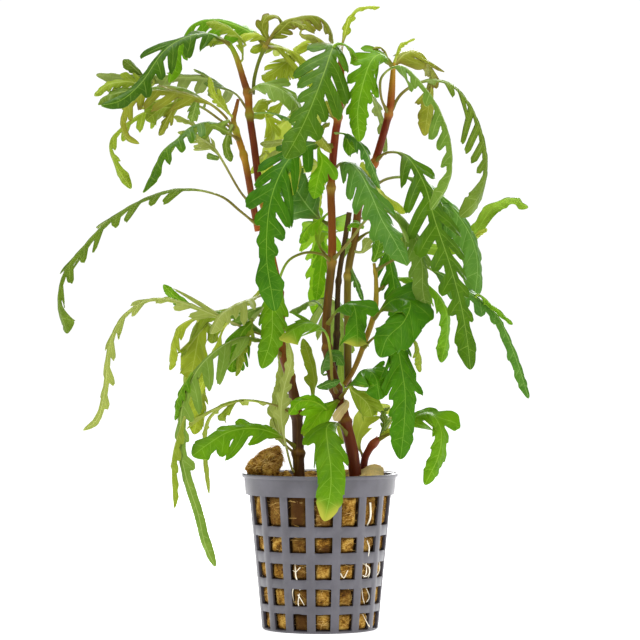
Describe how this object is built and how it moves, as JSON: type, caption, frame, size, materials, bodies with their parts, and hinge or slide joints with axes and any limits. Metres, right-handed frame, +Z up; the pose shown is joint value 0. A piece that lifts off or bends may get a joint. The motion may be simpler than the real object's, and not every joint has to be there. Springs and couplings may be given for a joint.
{
  "type": "potted hygrophila pinnatifida",
  "caption": "Aquarium plant with long deeply lobed green leaves on reddish brown stems, rooted in rockwool in a grey plastic net pot that stands on its flat base.",
  "frame": {"origin": "centre of the pot's flat underside", "axes": "+Z up the plant, -Y towards its front"},
  "size_m": [0.1584, 0.1007, 0.209],
  "materials": {
    "pot_plastic": "satin",
    "rockwool": "matte",
    "stem_brown": "satin",
    "stem_olive": "satin",
    "stem_dead": "matte",
    "leaf_green": "satin",
    "leaf_dark": "satin",
    "leaf_yellow": "satin",
    "leaf_pale": "satin",
    "leaf_olive": "satin"
  },
  "bodies": {
    "root": {"net_pot": "pot_plastic", "rockwool": "rockwool", "stem_left_trunk": "stem_brown", "stem_left_inner": "stem_brown", "stem_left_outer": "stem_brown", "stem_left_side": "stem_olive", "stem_centre": "stem_brown", "stem_right": "stem_brown", "stem_old": "stem_dead", "stem_thin": "stem_olive", "stem_low_shoot": "stem_brown", "leaf_left_crown_front": "leaf_dark", "leaf_left_crown_back": "leaf_green", "leaf_left_upper_olive": "leaf_olive", "leaf_left_upper_pale": "leaf_pale", "leaf_left_upper_long": "leaf_dark", "leaf_left_middle_front": "leaf_dark", "leaf_left_small_back": "leaf_pale", "leaf_left_long_arch": "leaf_dark", "leaf_left_low_arch": "leaf_pale", "leaf_left_low_yellow": "leaf_yellow", "leaf_left_low_long": "leaf_green", "leaf_left_base_front": "leaf_green", "leaf_left_base_back": "leaf_yellow", "leaf_left_inner_grey": "leaf_dark", "leaf_left_side_right": "leaf_yellow", "leaf_left_side_top": "leaf_olive", "leaf_left_inner_low": "leaf_green", "leaf_left_base_pale": "leaf_pale", "leaf_left_low_grey": "leaf_dark", "leaf_centre_front": "leaf_green", "leaf_centre_crown": "leaf_green", "leaf_centre_crown_shoot": "leaf_yellow", "leaf_centre_right_front": "leaf_dark", "leaf_centre_right_arch": "leaf_green", "leaf_rim_front": "leaf_green", "leaf_base_yellow": "leaf_green", "leaf_base_bright": "leaf_green", "leaf_centre_broad": "leaf_green", "leaf_centre_round": "leaf_green", "leaf_centre_back_pale": "leaf_pale", "leaf_centre_back_bright": "leaf_yellow", "leaf_centre_back_middle": "leaf_green", "leaf_centre_back_low": "leaf_dark", "leaf_centre_back_upper_left": "leaf_yellow", "leaf_centre_back_upper_right": "leaf_green", "leaf_right_crown_front": "leaf_green", "leaf_right_crown_olive": "leaf_olive", "leaf_right_over_stem": "leaf_dark", "leaf_right_arch": "leaf_yellow", "leaf_right_far_tip": "leaf_green", "leaf_right_long": "leaf_dark", "leaf_right_inner": "leaf_green", "leaf_right_back_broad": "leaf_dark", "leaf_thin_curled": "leaf_green", "leaf_thin_hanging": "leaf_green", "leaf_thin_back_pale": "leaf_pale", "leaf_thin_far_right": "leaf_green", "leaf_shoot_right": "leaf_green", "leaf_base_right_yellow": "leaf_yellow"}
  },
  "joints": []
}
